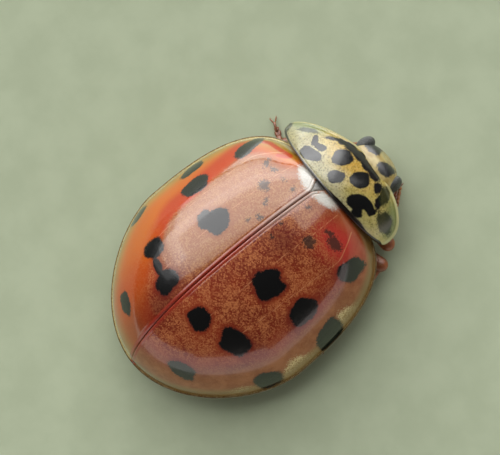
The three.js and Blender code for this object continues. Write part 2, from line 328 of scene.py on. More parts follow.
def curve_through(points, count):
    """A smooth path through a few points, with its length.

    `count` is how many points to give, at even steps, or the shares of the length to give them at.
    """
    points = np.asarray(points, float)
    padded = np.vstack([2 * points[0] - points[1], points, 2 * points[-1] - points[-2]])
    run = []
    for a, b, c, d in zip(padded, padded[1:], padded[2:], padded[3:]):
        t = np.linspace(0, 1, 24, endpoint=False)[:, None]
        low = 2 * b + (c - a) * t + (2 * a - 5 * b + 4 * c - d) * t**2
        run.append(0.5 * (low + (3 * b - a - 3 * c + d) * t**3))
    run = np.vstack([*run, points[-1:]])
    far = np.concatenate([[0], np.cumsum(np.linalg.norm(np.diff(run, axis=0), axis=1))])
    at = np.linspace(0, 1, count) if np.isscalar(count) else np.asarray(count)
    return np.stack([np.interp(at * far[-1], far, run[:, k]) for k in range(3)], axis=-1), far[-1]


def drawn(points, count):
    """Close points of a smooth line that is drawn in plan."""
    return curve_through([(*point, 0) for point in points], count)[0][:, :2]


def limb(path, radii, rows, flat=1.0, sides=14, blunt=1.0, floor=None):
    """A tapering, round-ended limb along a path, `flat` times as deep as it is wide."""
    at = 0.5 - 0.5 * np.cos(np.linspace(0, np.pi, rows))
    middle, length = curve_through(path, at)
    width = np.interp(at, np.linspace(0, 1, len(radii)), radii)
    for end, radius in ((at, radii[0]), (1 - at, radii[-1])):
        reach = max(radius * blunt, 1e-4)
        from_tip = np.clip(1 - end * length / reach, 0, 1)
        width = width * np.sqrt(np.clip(1 - np.square(from_tip), 0, 1))
    ahead = np.gradient(middle, axis=0)
    ahead /= np.linalg.norm(ahead, axis=1, keepdims=True)
    up = np.array([0.0, 0.0, 1.0]) - ahead * ahead[:, 2:]
    up /= np.linalg.norm(up, axis=1, keepdims=True)
    out = np.cross(ahead, up)
    turn = np.arange(sides)[None, :, None] / sides * 2 * np.pi
    ring = np.cos(turn) * out[:, None] + flat * np.sin(turn) * up[:, None]
    grid = middle[:, None] + ring * width[:, None, None]
    if floor is not None:
        grid[..., 2] = np.maximum(grid[..., 2], floor)
    return sheet(grid, caps=False)


def away(x, y, line):
    """Distance in plan from each point of a grid to a line of close points."""
    gap = np.empty(np.shape(x))
    for row in range(len(gap)):
        dx = x[row][:, None] - line[:, 0]
        dy = y[row][:, None] - line[:, 1]
        gap[row] = np.sqrt(np.min(dx * dx + dy * dy, axis=1))
    return gap


def blot(x, y, spots):
    """Distance in millimetres to the nearest of some rounded marks, under 0 inside them."""
    nearest = np.full(np.shape(x), FAR_OFF)
    for number, (cx, cy, rx, ry, turn, power) in enumerate(spots):
        c, s = math.cos(math.radians(turn)), math.sin(math.radians(turn))
        u = ((x - cx) * c + (y - cy) * s) / rx
        v = ((y - cy) * c - (x - cx) * s) / ry
        reach = np.power(np.power(np.abs(u), power) + np.power(np.abs(v), power), 1 / power)
        angle = np.arctan2(v, u)
        uneven = 0.05 * np.sin(3 * angle + 2.1 * number) + 0.04 * np.sin(5 * angle + 1.3 * number)
        nearest = np.minimum(nearest, (reach - 1 - uneven) * math.sqrt(rx * ry))
    return nearest


# ------------------------------------------------------------------ wing cases


def outline(y):
    """Half the breadth of the wing cases at places along the body."""
    back = lobe((y - WIDEST) / (REAR - WIDEST), 1.6, 1.93)
    fore = lobe((WIDEST - y) / (WIDEST - FRONT), 2.6, 3.8)
    return HALF_WIDTH * np.where(y > WIDEST, back, fore)


def rim_line(count):
    """Points of the rim from the shoulder to the tail at even steps, with their outward ways."""
    y = BASE_Y + (REAR - BASE_Y) * np.sin(np.linspace(0, np.pi / 2, 6000))
    x = outline(y)
    run = np.concatenate([[0], np.cumsum(np.hypot(np.diff(x), np.diff(y)))])
    at = np.linspace(0, run[-1], count)
    x, y = np.interp(at, run, x), np.interp(at, run, y)
    dx, dy = np.gradient(x), np.gradient(y)
    size = np.hypot(dx, dy)
    out_x, out_y = dy / size, -dx / size
    out_x[-1], out_y[-1] = 0.0, 1.0
    return x, y, out_x, out_y


def dome_height(x, y, half):
    """Height of the dome over the ground, with its shoulder knob and the hollow before it."""
    behind = (y - CREST) / (REAR - FLANGE - CREST)
    before = (CREST - y) / (CREST - RIDGE_FRONT)
    ridge = (CROWN - GUTTER_Z) * lobe(np.where(y > CREST, behind, before), 2.1, 1.9)
    arch = np.power(np.clip(1 - np.square(x / np.maximum(half, 1e-6)), 0, 1), 0.62)
    height = RIM_Z + GUTTER_Z + ridge * arch
    shoulder = 0.03 * bell(x - 1.3, 0.3) * bell(y + 1.25, 0.32)
    hollow = -0.022 * bell(x - 0.95, 0.28) * bell(y + 1.62, 0.2)
    return height + (shoulder + hollow) * arch


# Marks: centre, radii, turn and squareness, in millimetres and degrees. On the right wing case
# they are given as if it were a left one.
SPOTS_LEFT = [
    (1.56, -1.22, 0.14, 0.32, 9, 2.2),
    (1.97, -0.13, 0.1, 0.27, 0, 2.2),
    (1.57, -0.02, 0.17, 0.3, -4, 2.3),
    (0.66, 0.06, 0.24, 0.27, 20, 2.3),
    (0.82, 0.2, 0.2, 0.18, 0, 2.3),
    (1.1, 1.31, 0.19, 0.22, 0, 2.4),
    (0.76, 1.46, 0.2, 0.08, -15, 2.0),
    (0.41, 1.5, 0.2, 0.25, 12, 2.8),
    (0.74, 2.41, 0.24, 0.11, -23, 2.3),
    (1.98, 1.22, 0.09, 0.24, 10, 2.2),
]
SPOTS_RIGHT = [
    (1.52, -1.23, 0.15, 0.28, -10, 2.4),
    (2.1, -0.13, 0.13, 0.33, -14, 2.3),
    (1.6, -0.07, 0.18, 0.3, -8, 2.3),
    (0.86, 0.16, 0.27, 0.2, 24, 2.2),
    (0.8, -0.03, 0.15, 0.2, 30, 2.4),
    (1.0, 0.02, 0.15, 0.18, 0, 2.4),
    (0.54, 1.48, 0.22, 0.21, 10, 2.4),
    (1.25, 1.27, 0.27, 0.22, -22, 3.4),
    (0.91, 2.4, 0.27, 0.13, -25, 2.3),
    (2.01, 1.3, 0.1, 0.28, 21, 2.2),
]
FAINT_LEFT = [
    (1.0, -1.32, 0.05, 0.1, 30, 2.0),
    (0.8, -1.36, 0.07, 0.05, 0, 2.0),
    (0.64, -1.03, 0.12, 0.1, 0, 2.0),
    (0.5, -1.38, 0.05, 0.03, 0, 2.0),
    (0.24, -1.4, 0.04, 0.05, 0, 2.0),
    (0.36, -0.87, 0.04, 0.08, 30, 2.0),
    (0.19, -0.6, 0.08, 0.05, 0, 2.0),
    (0.3, -0.4, 0.03, 0.04, 0, 2.0),
]
FAINT_RIGHT = [
    (0.74, -1.0, 0.12, 0.11, 0, 2.2),
    (1.02, -1.33, 0.15, 0.1, 10, 2.3),
    (0.82, -1.39, 0.1, 0.05, -20, 2.0),
    (0.23, -1.4, 0.04, 0.03, 0, 2.0),
    (0.15, -0.84, 0.06, 0.03, 60, 2.0),
    (0.24, -0.54, 0.04, 0.03, 0, 2.0),
]
WHITE_PATCH = [(0.28, -1.73, 0.28, 0.12, -16, 2.4)]
# Ghosts of two veins, and the red streak along the left shoulder: points of their lines.
VEIN_INNER = [(0.63, -1.72), (0.67, -1.2), (0.66, -0.6), (0.65, 0.3), (0.62, 1.5)]
VEIN_OUTER = [(1.0, -1.7), (1.14, -1.5), (1.29, -1.22), (1.31, -1.0), (1.3, -0.4), (1.27, 0.5), (1.2, 1.4)]
STREAK = [(1.5, -1.5), (1.38, -1.58), (1.17, -1.64), (1.0, -1.69), (0.85, -1.74), (0.9, -1.66), (1.02, -1.57)]
# Section of the margin, from the gutter over the lip and under it: out from the edge, and up.
MARGIN = [
    (-0.04, 0.053),
    (-0.03, 0.051),
    (-0.022, 0.056),
    (-0.012, 0.061),
    (-0.004, 0.055),
    (0.0, 0.038),
    (-0.004, 0.016),
    (-0.02, 0.004),
    (-0.06, 0.0),
    (-0.12, 0.0),
    (-0.17, 0.008),
    (-0.2, 0.03),
]
MARGIN_SHOWN = 8  # points of that section that can be seen from outside


def wing_case_form():
    """A left wing case as a grid of rings: dome, margin and inner wall, with its dome's columns."""
    edge_x, edge_y, out_x, out_y = rim_line(230)
    half = edge_x - FLANGE * out_x
    y = edge_y - FLANGE * out_y
    half[-1] = 0.0
    # Inner border: the seam, opening in front round the scutellum.
    opening = SCUTELLUM_HALF * np.clip((SCUTELLUM_TIP - y) / (SCUTELLUM_TIP - SCUTELLUM_FRONT), 0, 1.6)
    seam = np.minimum(0.004 + opening, half)
    # Close columns beside the seam for its bead, then wider ones out to the gutter.
    narrow = np.clip(half, 0, 1)
    columns = [seam + np.minimum(d * narrow, half - seam) for d in np.arange(0, 0.16, 0.01)]
    inner = columns[-1]
    columns += [inner + (half - inner) * np.sin(t) for t in np.linspace(0, np.pi / 2, 116)[1:]]
    x = np.stack(columns, axis=1)
    along = np.repeat(y[:, None], x.shape[1], axis=1)
    z = dome_height(x, along, half[:, None])
    # A fine bead and groove beside the seam, with the edge itself turned down.
    from_seam = x - seam[:, None]
    fading = np.clip(half / 0.6, 0, 1)[:, None]
    z += fading * (0.004 * bell(from_seam - 0.035, 0.018) - 0.005 * bell(from_seam - 0.075, 0.014))
    z -= fading * 0.02 * bell(from_seam, 0.012)
    top = np.stack([x, along, z], axis=-1)
    margin = [
        np.stack([edge_x + out * out_x, edge_y + out * out_y, np.full_like(edge_x, RIM_Z + up)], axis=-1)
        for out, up in MARGIN
    ]
    rim = np.stack(margin, axis=1)
    rim[-1, :, 0] = 0.0
    # The inner wall: the dome drawn in a little, on every third column.
    below = top[:, ::-3].copy()
    below[..., 0] = np.maximum(below[..., 0] * 0.945, np.minimum(seam, half)[:, None])
    below[..., 1] = 0.6 + (below[..., 1] - 0.6) * 0.95
    below[..., 2] = RIM_Z + 0.04 + (below[..., 2] - RIM_Z - GUTTER_Z) * 0.955
    return np.concatenate([top, rim, below], axis=1), top.shape[1]


def flank_marks(x, y, edge, left):
    """Where a wing case's colours lie: its flank, its paler tan that is partly painted haze, its red blush
    and its deep red.
    """
    if not left:
        return {
            "flank": 1 - ease(edge, 0.28, 0.46),
            "bloom": 0.7 * bell(x - 0.3, 0.32) * ease(-y, 0.8, 1.3),
            "blush": np.minimum(1.1 * bell(x - 1.05, 0.48) * bell(y + 1.4, 0.36), 1.0),
            "deep": 0.9 * bell(x - 0.45, 0.4) * bell(y + 0.65, 0.4),
        }
    # The left flank's red and orange narrow towards the shoulder and widen towards the tail.
    depth = edge + 0.3 * (1 - ease(y, -1.3, -0.3)) - 0.12 * ease(y, -0.4, 0.3) - 0.15 * ease(y, 0.5, 1.1)
    blush = ease(depth, 0.32, 0.52) * (1 - ease(depth, 0.68, 0.82)) * (1 - 0.7 * ease(y, 0.7, 1.5))
    streak = away(x, y, drawn(STREAK, 60))
    blush = np.maximum(blush * ease(y, -1.5, -1.1), 1 - ease(streak, 0.025, 0.055))
    blush = np.maximum(blush, 0.6 * bell(x - 0.9, 0.4) * ease(y, 1.2, 1.8))
    return {
        "flank": 1 - ease(depth, 0.6, 0.85),
        # Paler tan over the inner left case, partly painted haze of the highlight there.
        "bloom": ease(depth, 0.66, 0.84) * (1 - ease(y - 0.5 * x, 0.5, 1.5)) * ease(x, -0.1, 0.25),
        "blush": blush,
        "deep": bell(x - 0.1, 0.6) * bell(y - 2.0, 0.85),
    }


def wing_case(side, material):
    """One domed wing case, with its marks: a left one, mirrored for the right side."""
    left = side > 0
    word = "left" if left else "right"
    grid, dome_columns = wing_case_form()
    x, y = grid[..., 0].copy(), grid[..., 1]
    hidden = np.zeros(grid.shape[:2])
    hidden[:, dome_columns + MARGIN_SHOWN :] = HIDDEN
    edge = away(x, y, np.stack(rim_line(900)[:2], axis=-1))
    # The freckled cream strip inside the rim, broken where the margin's spots touch it.
    reach = bell(y + 0.55, 0.3) + bell(y - 0.72, 0.36) + 0.5 * bell(y - 1.8, 0.25)
    grid[..., 0] *= side
    part = sheet(
        grid,
        spots=blot(x, y, SPOTS_LEFT if left else SPOTS_RIGHT) + hidden,
        faint=blot(x, y, FAINT_LEFT if left else FAINT_RIGHT) + hidden,
        white=blot(x, y, WHITE_PATCH) + hidden + (0 if left else 0.03),
        strip=edge - (0.04 if left else 0.02 + 0.17 * reach),
        edge=edge,
        # 1 on the left case, painted in lit tones, and 0 on the right, painted in shaded tones.
        sunny=np.full(grid.shape[:2], 1.0 if left else 0.0),
        vein=np.minimum(*(away(x, y, drawn(line, 400)) for line in (VEIN_INNER, VEIN_OUTER))) + hidden,
        seamline=np.where(hidden > 0, FAR_OFF, np.abs(x)),
        **flank_marks(x, y, edge, left),
    )
    piece(f"wing_case_{word}", [part], material, [f"elytron_{word}"])


def wing_case_finish():
    """Chitin lacquered by the insect's own wax: a dark red, granular layer under a clear skin.

    Tan granules break up the red, and the clear skin carries the lamps' crisp reflections.
    """
    look = {"roughness": 0.45, "coat": 1.0, "coat_roughness": 0.05, "gloss": 0.12}
    material, tree, shader, body = finish("wing_case_chitin_waxed", **look)
    names = ("edge", "spots", "flank", "sunny", "seamline")
    edge, spots, flank, sunny, seam = (
        node(tree, "ShaderNodeAttribute", out="Fac", attribute_name=name) for name in names
    )
    grain, luck = granules(tree, body, WING_GRANULE)
    ragged = frayed(tree, body, luck, share=0.45, size=0.09, rough=0.65)
    # Ground: dark red and tan. By the rim the left flank turns from red-orange to ochre, and the
    # right one is brown: the left case is painted in lit tones, the right in shaded tones.
    warm = lay(tree, "#a88420", ("#c86208", edge, 0.1, 0.4))
    brown = mottled(tree, body, "#884212", "#a46034", size=0.35, detail=4.0, rough=0.7)
    ground = lay(
        tree,
        mottled(tree, body, "#721e0c", "#8a2e12", size=0.8),
        # Paler tan, partly painted haze.
        ("#985628", "bloom"),
        (lay(tree, brown, (warm, sunny)), flank),
        ("#5e1208", "deep"),
        (lay(tree, "#b8302a", ("#b83600", sunny)), "blush"),
    )
    # Tan granules: thick in cloudy patches, thin round the spots, on the flanks and in the red.
    feeds = scaled(body, 0.3, Detail=5.0, Roughness=0.68)
    patches = node(tree, "ShaderNodeTexNoise", feeds, "Fac")
    crowd = node(tree, "ShaderNodeMath", {0: luck, 1: 0.55, 2: patches}, operation="MULTIPLY_ADD")
    fleck = fade(
        tree,
        (crowd, 0.5, 1.08),
        (spots, 0.02, 0.11, 0.15, 1.0),
        (flank, 0.2, 0.9, 1.0, 0.4),
        (edge, 0.45, 0.85, 0.35, 1.0),
        ("deep", 0.2, 1.0, 1.0, 0.35),
        ("blush", 0.3, 0.9, 1.0, 0.4),
        (grain, 0.3, 0.85, 1.0, 0.5),
    )
    # Its granules are paler in the same partly painted haze.
    tan = lay(tree, "#c07444", ("#b07a48", "bloom"))
    # An ochre rim with a lip, and cream freckles beside the margin's spots. On the left the rim is
    # painted brighter and the lip pale cream, a painted highlight; on the right both are brown, painted
    # shade.
    rim = lay(tree, "#8e6a38", ("#9c8a3a", sunny))
    freckle = lay(tree, "#dcc690", ("#a08048", luck, 0.35, 0.9))
    lip = lay(tree, "#8c6e38", ("#d4c690", sunny))
    lip_mask = fade(tree, (edge, 0.02, 0.035), (edge, 0.07, 0.15, 0.8, 0.0))
    # Beside the seam, a band that is grey in front and red behind.
    along = node(tree, "ShaderNodeSeparateXYZ", {0: body}, "Y")
    band = lay(tree, "#a08478", ("#982818", along, -1.1 * MM, 0.2 * MM))
    white = lay(tree, "#c2bdb2", ("#d6d1c8", luck))
    # Spots are greenish black near the rim, a painted reflection of green ground, and black further in.
    black = lay(tree, "#161c0e", ("#060709", edge, 0.12, 0.27))
    colour = lay(
        tree,
        ground,
        (tan, fleck),
        ("#dc9c6c", "vein", 0.004, 0.013, 0.5, 0.0),
        (rim, edge, 0.05, 0.15, 0.7, 0.0),
        (freckle, inside(tree, "strip", ragged, 0.12, 0.04), 0.9),
        (lip, lip_mask),
        (band, seam, 0.05, 0.1, 0.75, 0.0),
        (white, inside(tree, "white", ragged, 0.16, 0.06)),
        ("#30261f", inside(tree, "faint", ragged, 0.14, 0.03), 0.85),
        (black, inside(tree, spots, ragged, 0.06, 0.02)),
        # A dark line along the very edge: painted shade where the margin turns under.
        ("#46340f", edge, 0.015, 0.03, 0.8, 0.0),
        ("#3a120c", seam, 0.003, 0.01, 0.8, 0.0),
    )
    height = gritty(tree, body, fade(tree, (grain, 0.0, 0.5)), size=0.02, share=0.3)
    dress(tree, shader, colour, height, depth=0.0007)
    return material


# ------------------------------------------------------------------ shield (pronotum)


def shield_place(across, back):
    """Where a point of the shield lies, from the distances across and back from its middle."""
    return SHIELD_X + across, SHIELD_Y + back


def shield_reach(angle):
    """Distance of the shield's edge from its middle, looking each way."""
    left = np.cos(angle) > 0
    rear = np.sin(angle) > 0
    power = np.where(rear, 3.8, np.where(left, 1.42, 2.35))
    across = np.power(np.abs(np.cos(angle)) / SHIELD_HALF, power)
    ahead = np.power(np.abs(np.sin(angle)) / np.where(rear, SHIELD_REAR, SHIELD_FORE), power)
    return np.power(across + ahead, -1 / power)


def shield_top(across, back):
    """Height of the shield: highest at its hind edge, falling to the front and both sides."""
    forward = (SHIELD_REAR - back) / (SHIELD_REAR + SHIELD_FORE)
    rise = SHIELD_RISE - 0.62 * np.power(np.clip(forward, 0, None), 1.7)
    return SHIELD_RIM_Z + rise * np.clip(1 - np.square(across / (SHIELD_HALF * 1.02)), 0, 1)


SHIELD_SPOTS = [
    (0.18, -2.47, 0.185, 0.17, 54, 2.2),
    (-0.36, -2.455, 0.175, 0.165, 53, 2.2),
    (-0.065, -2.155, 0.16, 0.13, 51, 2.2),
    (0.79, -2.28, 0.12, 0.065, -49, 2.2),
    (0.6, -2.28, 0.13, 0.07, 24, 2.2),
    (0.61, -2.06, 0.24, 0.12, 21, 2.4),
    (-0.66, -2.13, 0.17, 0.15, 0, 2.6),
    (-0.78, -2.25, 0.17, 0.095, -8, 2.4),
    (-0.94, -2.22, 0.06, 0.085, 0, 2.4),
    (-0.8, -2.01, 0.1, 0.09, 20, 2.4),
]
SHIELD_RIM_SPOTS = [
    (1.08, -2.29, 0.22, 0.05, 38, 2.2),
    (1.44, -2.02, 0.06, 0.14, 20, 2.2),
    (-1.2, -2.27, 0.2, 0.13, -43, 2.3),
    (-0.84, -2.59, 0.2, 0.085, -50, 2.2),
]
SHIELD_FRONT_MARKS = [
    (0.62, -2.55, 0.15, 0.04, 40, 2.2),
    (0.45, -2.655, 0.15, 0.055, 25, 2.2),
    (0.26, -2.71, 0.15, 0.075, 8, 2.2),
    (0.04, -2.725, 0.16, 0.085, 2, 2.2),
    (-0.2, -2.72, 0.17, 0.085, -2, 2.2),
    (-0.42, -2.7, 0.15, 0.075, -12, 2.2),
    (-0.66, -2.6, 0.12, 0.075, -40, 2.2),
    (-0.88, -2.42, 0.15, 0.055, -48, 2.2),
]


def shield(material):
    """The rounded shield behind the head: a shell with a rolled lip, and its marks."""
    rings = np.concatenate([np.linspace(0, 0.86, 60, endpoint=False), np.linspace(0.86, 1, 26)])
    out, turn = np.meshgrid(rings, np.arange(260) / 260 * 2 * np.pi, indexing="ij")
    reach = out * shield_reach(turn)
    across, back = reach * np.cos(turn), reach * np.sin(turn)
    x, y = shield_place(across, back)
    close = np.linspace(0, 2 * np.pi, 1400, endpoint=False)
    side_reach = shield_reach(close) * np.cos(close)
    line = np.stack(shield_place(side_reach, shield_reach(close) * np.sin(close)), axis=-1)
    border = away(x, y, line)
    hind = away(x, y, line[(np.sin(close) > 0) & (np.abs(side_reach) < 1.42)])
    lip = 0.012 * bell(border - 0.03, 0.018) - 0.01 * bell(border - 0.07, 0.022)
    half = SHIELD_THICKNESS / 2 * np.sqrt(np.clip(1 - np.power(out, 9), 0, 1))
    z_mid = shield_top(across, back) - SHIELD_THICKNESS / 2 - 0.01
    upper = np.stack([x, y, z_mid + half + lip * (half > 0.03)], axis=-1)
    lower = np.stack([x, y, z_mid - half], axis=-1)[::-1][1:]
    grid = np.concatenate([upper, lower], axis=0)
    gx, gy = grid[..., 0], grid[..., 1]
    hidden = np.concatenate([np.zeros(upper.shape[:2]), np.full(lower.shape[:2], HIDDEN)])

    def both(top):
        """A mark of the upper face, carried over to the lower one."""
        return np.concatenate([top, top[::-1][1:]])

    sides = ease(np.abs(across + 0.1) / SHIELD_HALF, 0.45, 0.75)
    part = sheet(
        grid,
        caps=False,
        spots=blot(gx, gy, SHIELD_SPOTS) + hidden,
        rimspots=blot(gx, gy, SHIELD_RIM_SPOTS) + hidden,
        marks=blot(gx, gy, SHIELD_FRONT_MARKS) + hidden,
        border=both(border),
        hind=both(hind) + hidden,
        rightward=both(ease(-across, 0.0, 0.6) * (1 - ease(-across, 1.0, 1.15))),
        horn=both(sides * (1 - ease(border, 0.12, 0.28)) * ease(-back, -0.1, 0.1)),
        # Paler towards the hind edge and the left: a painted highlight.
        pale=both(ease(back + 0.25 * across, -0.25, 0.1)),
        ochre=both(bell(across + 0.1, 0.75) * bell(back + 0.46, 0.26)),
    )
    piece("shield", [part], material, ["pronotum"])


def shield_finish():
    """Ochre chitin under a clear skin, thinning to greenish horn at the sides."""
    look = {"roughness": 0.42, "coat": 1.0, "coat_roughness": 0.05, "gloss": 0.12, "flesh": 0.08}
    material, tree, shader, body = finish("shield_chitin_waxed", **look)
    grain, luck = granules(tree, body, SHIELD_GRANULE)
    ragged = frayed(tree, body, luck, share=0.5, size=0.08, rough=0.7)
    # The black line along the hind edge is broader towards the right.
    feeds = {0: "rightward", 1: -0.045, 2: "hind"}
    hind = node(tree, "ShaderNodeMath", feeds, operation="MULTIPLY_ADD")
    colour = lay(
        tree,
        mottled(tree, body, "#a89a50", "#c2b46c", size=0.4, detail=4.0, rough=0.6, low=0.3, high=0.7),
        # A painted highlight, paler towards the hind edge and the left.
        ("#aaa584", "pale", 0.9),
        ("#c6962c", "ochre", 0.85),
        ("#dccc90", luck, 0.5, 1.0, 0.0, 0.35),
        ("#5c4a1c", luck, 0.0, 0.35, 0.6, 0.0),
        ("#76824c", "horn", 0.85),
        ("#120c10", inside(tree, "marks", ragged, 0.06, 0.02)),
        ("#d2c890", "border", 0.02, 0.045, 0.85, 0.0),
        ("#18220f", inside(tree, "rimspots", ragged, 0.06, 0.03), 0.92),
        ("#120b09", hind, 0.05, 0.07, 1.0, 0.0),
        ("#08090b", inside(tree, "spots", ragged, 0.03, 0.014)),
    )
    height = gritty(tree, body, fade(tree, (grain, 0.0, 0.5)), size=0.015)
    dress(tree, shader, colour, height, depth=0.001)
    return material


# ------------------------------------------------------------------ scutellum


def scutellum(material):
    """The small triangle between the bases of the wing cases."""
    across = np.linspace(-1, 1, 13)
    rows = []
    for t in np.linspace(0, 1, 16):
        y = SCUTELLUM_FRONT - 0.14 + t * (SCUTELLUM_TIP + 0.02 - SCUTELLUM_FRONT + 0.14)
        width = max(SCUTELLUM_HALF * 1.35 * (1 - t) ** 0.9 - 0.004, 0.0)
        level = dome_height(np.array([0.0]), np.array([y]), np.array([1.9]))[0] - 0.012
        top = [(a * width, y, level - 0.02 * a * a) for a in across]
        under = [(a * width, y, level - 0.12) for a in across[::-1]]
        rows.append(top + under)
    piece("scutellum_plate", [sheet(np.array(rows))], material, ["scutellum"])


def plate_finish(name, dark, pale, roughness, coat, grain=0.03, fine=0.004, flesh=0.0):
    """Bare chitin plate: uneven in colour, finely pitted, duller than the waxed shell."""
    material, tree, shader, body = finish(name, roughness, coat, coat_roughness=0.18, flesh=flesh)
    plain = mottled(tree, body, dark, pale, size=0.25, detail=4.0, low=0.3, high=0.7)
    cells = node(tree, "ShaderNodeTexVoronoi", scaled(body, grain), "Distance")
    pits = fade(tree, (cells, 0.05, 0.4))
    colour = lay(tree, plain, (dark, 0.35), (plain, pits))
    dress(tree, shader, colour, gritty(tree, body, pits, size=grain * 0.5), depth=fine)
    return material


# ------------------------------------------------------------------ head

HEAD_SPOTS = [
    (0.05, -3.01, 0.19, 0.1, 8, 2.3),
    (-0.44, -2.93, 0.17, 0.12, 6, 2.3),
]


def head(material):
    """The head: a broad brow hollowed between the eyes, with the face drawn down to the lip."""
    ways = ball_grid(96, 144)
    full = np.sign(ways) * np.power(np.abs(ways), 0.88)
    x, y, z = np.moveaxis(full * HEAD_RADII, -1, 0).copy()
    front = np.clip(-ways[..., 1], 0, 1)
    low = np.clip(0.2 - ways[..., 2], 0, 1)
    y += 0.05 * front * bell(x, 0.22) * bell(z - 0.06, 0.2)
    y -= 0.06 * front * low * bell(x, 0.3)
    z += 0.02 * bell(np.abs(x) - 0.46, 0.12) * front
    x *= 1 - 0.16 * low * front
    # Hollow of the antenna's socket, and the line between face and lip shield.
    y += 0.05 * bell(np.abs(x) - 0.36, 0.06) * bell(z + 0.14, 0.06) * front
    y += 0.018 * front * bell(z + 0.2, 0.02) * bell(x, 0.3)
    points = np.stack([x, y, z], axis=-1) @ np.array(HEAD_TURN.to_3x3()).T + HEAD_AT
    below = np.where(points[..., 2] < HEAD_AT[2] - 0.08, 2.0, 0.0)
    spots = blot(points[..., 0], points[..., 1], HEAD_SPOTS) + below
    piece("head_capsule", [sheet(points, caps=False, spots=spots)], material, ["head"])


def head_finish():
    """Pale horn-yellow chitin with black brow marks, satin, finely shagreened."""
    material, tree, shader, body = finish("head_chitin", 0.38, 0.8, coat_roughness=0.14, flesh=0.08)
    feeds = scaled(body, 0.05, Detail=3.0, Roughness=0.7)
    black = inside(tree, "spots", node(tree, "ShaderNodeTexNoise", feeds, "Fac"), 0.1, 0.02)
    colour = lay(tree, mottled(tree, body, "#a08640", "#c4b070", size=0.2), ("#17171a", black))
    cells = node(tree, "ShaderNodeTexVoronoi", scaled(body, HEAD_PIT), "Distance")
    height = gritty(tree, body, fade(tree, (cells, 0.05, 0.4)), size=0.012)
    dress(tree, shader, colour, height, depth=0.003)
    return material


# ------------------------------------------------------------------ trees that repeat small shapes


def geometry_tree(name, inputs):
    """An empty geometry tree with named number inputs: gives the tree and its input sockets."""
    tree = bpy.data.node_groups.new(name, "GeometryNodeTree")
    tree.interface.new_socket("Geometry", in_out="INPUT", socket_type="NodeSocketGeometry")
    for label, default in inputs.items():
        kind = "NodeSocketInt" if isinstance(default, int) else "NodeSocketFloat"
        socket = tree.interface.new_socket(label, in_out="INPUT", socket_type=kind)
        socket.default_value = default
    tree.interface.new_socket("Geometry", in_out="OUTPUT", socket_type="NodeSocketGeometry")
    return tree, tree.nodes.new("NodeGroupInput").outputs


def end_tree(tree, shapes, material):
    """Ends a geometry tree: its shapes get their material and are what it gives."""
    done = node(tree, "GeometryNodeSetMaterial", {"Geometry": shapes, "Material": material})
    tree.links.new(done, tree.nodes.new("NodeGroupOutput").inputs["Geometry"])
    return tree


def run_tree(tree, host, name, values, nodes=()):
    """Runs a tree on a host mesh and keeps the result as a plain piece on the body."""
    modifier = host.modifiers.new(name, "NODES")
    modifier.node_group = tree
    for item in tree.interface.items_tree:
        if item.in_out == "INPUT" and item.name in values:
            modifier[item.identifier] = values[item.name]
    graph = bpy.context.evaluated_depsgraph_get()
    mesh = bpy.data.meshes.new_from_object(host.evaluated_get(graph))
    host.modifiers.remove(modifier)
    mesh.name = name
    return set_up(name, mesh, nodes)


def hair_tree(material):
    """Sparse tapering hairs, leaning back along the surface that carries them."""
    inputs = {"Density": 1.0, "Length": 0.1, "Thickness": 0.01, "Lean": 0.6, "Clearance": 0.1, "Seed": 1}
    tree, source = geometry_tree("setae", inputs)
    seed = source["Seed"]
    feeds = {"Mesh": source["Geometry"], "Density": source["Density"], "Seed": seed}
    spots = node(tree, "GeometryNodeDistributePointsOnFaces", feeds, distribute_method="RANDOM")
    spot_z = node(tree, "ShaderNodeSeparateXYZ", {0: node(tree, "GeometryNodeInputPosition")}, "Z")
    low = node(tree, "FunctionNodeCompare", {0: spot_z, 1: source["Clearance"]}, operation="LESS_THAN")
    kept = node(tree, "GeometryNodeDeleteGeometry", {"Geometry": spots, "Selection": low}, domain="POINT")
    feeds = {"Vertices": 4, "Side Segments": 3, "Radius Top": 0.0}
    feeds |= {"Radius Bottom": source["Thickness"], "Depth": source["Length"]}
    hair = node(tree, "GeometryNodeMeshCone", feeds)
    size = node(tree, "FunctionNodeRandomValue", {2: 0.6, 3: 1.15, "Seed": seed}, 1, data_type="FLOAT")
    feeds = {0: (-0.35, -0.35, -3.1), 1: (0.35, 0.35, 3.1), "Seed": 7}
    tilt = node(tree, "FunctionNodeRandomValue", feeds, data_type="FLOAT_VECTOR")
    turn = spots.node.outputs["Rotation"]
    for more in (tilt, node(tree, "ShaderNodeCombineXYZ", {"X": source["Lean"]})):
        feeds = {"Rotation": turn, "Rotate By": more}
        turn = node(tree, "FunctionNodeRotateEuler", feeds, rotation_type="EULER", space="LOCAL")
    feeds = {"Points": kept, "Instance": hair, "Rotation": turn, "Scale": size}
    put = node(tree, "GeometryNodeInstanceOnPoints", feeds)
    return end_tree(tree, node(tree, "GeometryNodeRealizeInstances", {"Geometry": put}), material)


def facet_tree(material):
    """Small lenses set on every corner of the eye's close mesh, which is laid in hexagons."""
    tree, source = geometry_tree("eye_facets", {"Lens Radius": 0.01})
    feeds = {"Segments": 6, "Rings": 4, "Radius": source["Lens Radius"]}
    lens = node(tree, "GeometryNodeMeshUVSphere", feeds)
    feeds = {"Vector": node(tree, "GeometryNodeInputNormal")}
    turn = node(tree, "FunctionNodeAlignRotationToVector", feeds, axis="Z")
    feeds = {"Points": source["Geometry"], "Instance": lens, "Rotation": turn, "Scale": (1.0, 1.0, 0.55)}
    put = node(tree, "GeometryNodeInstanceOnPoints", feeds)
    both = node(tree, "GeometryNodeJoinGeometry", {"Geometry": put})
    tree.links.new(source["Geometry"], both.node.inputs["Geometry"])
    real = node(tree, "GeometryNodeRealizeInstances", {"Geometry": both})
    return end_tree(tree, node(tree, "GeometryNodeSetShadeSmooth", {"Geometry": real}), material)


